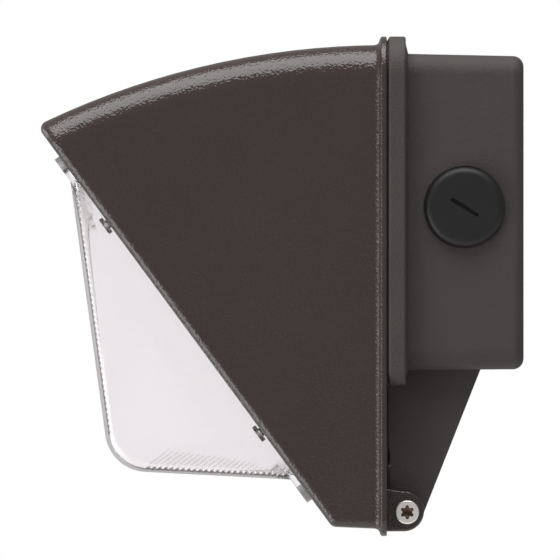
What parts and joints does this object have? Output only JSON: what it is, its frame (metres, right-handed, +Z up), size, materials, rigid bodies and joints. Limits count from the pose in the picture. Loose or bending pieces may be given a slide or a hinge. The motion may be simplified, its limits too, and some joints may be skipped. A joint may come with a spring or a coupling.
{
  "type": "wall pack light",
  "caption": "Cut-off wall pack light: cast hood with a clear drop lens, hinged at its foot to a wall-mounted rear box.",
  "frame": {"origin": "middle of the rear box's wall face", "axes": "+Y out of the wall face into the wall, +Z up, +X across the light"},
  "size_m": [0.216, 0.1758, 0.1819],
  "materials": {
    "powder_coat": "dark bronze powder coat, lightly textured",
    "black_plastic": "moulded matt",
    "stainless": "plain stainless",
    "silicone": "matt",
    "nylon": "natural",
    "green_steel": "green dyed zinc",
    "clear_pc": "clear moulded, prismatic inside",
    "white_reflector": "white, semi-gloss",
    "board_mask": "white solder mask",
    "phosphor": "LED phosphor",
    "driver_metal": "plain sheet",
    "potting": "cast resin",
    "thermal_rubber": "matt",
    "cover_steel": "galvanised",
    "terminal_plastic": "moulded",
    "tinned": "tin plated",
    "lead_red": "insulation",
    "lead_black": "insulation",
    "lead_white": "insulation",
    "lead_green": "insulation"
  },
  "bodies": {
    "rear": {"rear_box": "powder_coat", "box_gasket": "silicone", "box_ground_screw": "green_steel", "hinge_washers": "nylon", "hinge_bolts": "stainless"},
    "door": {"front_housing": "powder_coat", "lens": "clear_pc", "lens_gasket": "silicone", "lens_screws": "stainless", "thermal_pad": "thermal_rubber", "led_board": "board_mask", "led_chips": "phosphor", "board_screws": "stainless", "board_connector": "terminal_plastic", "reflector": "white_reflector", "reflector_screws": "stainless", "lead_grommet": "silicone", "driver_case": "driver_metal", "driver_potting": "potting", "driver_lid": "driver_metal", "driver_screws": "stainless", "back_cover": "cover_steel", "cover_gasket": "silicone", "cover_screws": "stainless", "supply_grommet": "silicone", "terminal_block": "terminal_plastic", "terminal_screws": "stainless", "block_screws": "stainless", "ground_lead": "lead_green", "ground_ring": "tinned", "cover_ground_screw": "green_steel", "board_lead_red": "lead_red", "board_lead_black": "lead_black", "supply_lead_black": "lead_black", "supply_lead_white": "lead_white"},
    "screw_right": {"closing_screw_right": "stainless", "closing_seal_right": "silicone", "closing_clip_right": "stainless"},
    "screw_left": {"closing_screw_left": "stainless", "closing_seal_left": "silicone", "closing_clip_left": "stainless"},
    "plug_right": {"conduit_plug_right": "black_plastic", "plug_seal_right": "silicone"},
    "plug_left": {"conduit_plug_left": "black_plastic", "plug_seal_left": "silicone"}
  },
  "joints": [
    {"name": "door_hinge", "type": "hinge", "parent": "rear", "child": "door", "pos_m": [0, -0.0424, -0.109], "axis": [1, 0, 0], "range_deg": [0, 110]},
    {"name": "closing_screw_right", "type": "slide", "parent": "door", "child": "screw_right", "axis": [0, -1, 0], "range_m": [0, 0.0078]},
    {"name": "closing_screw_left", "type": "slide", "parent": "door", "child": "screw_left", "axis": [0, -1, 0], "range_m": [0, 0.0078]},
    {"name": "plug_right", "type": "slide", "parent": "rear", "child": "plug_right", "axis": [1, 0, 0], "range_m": [0, 0.016]},
    {"name": "plug_left", "type": "slide", "parent": "rear", "child": "plug_left", "axis": [-1, 0, 0], "range_m": [0, 0.016]}
  ]
}
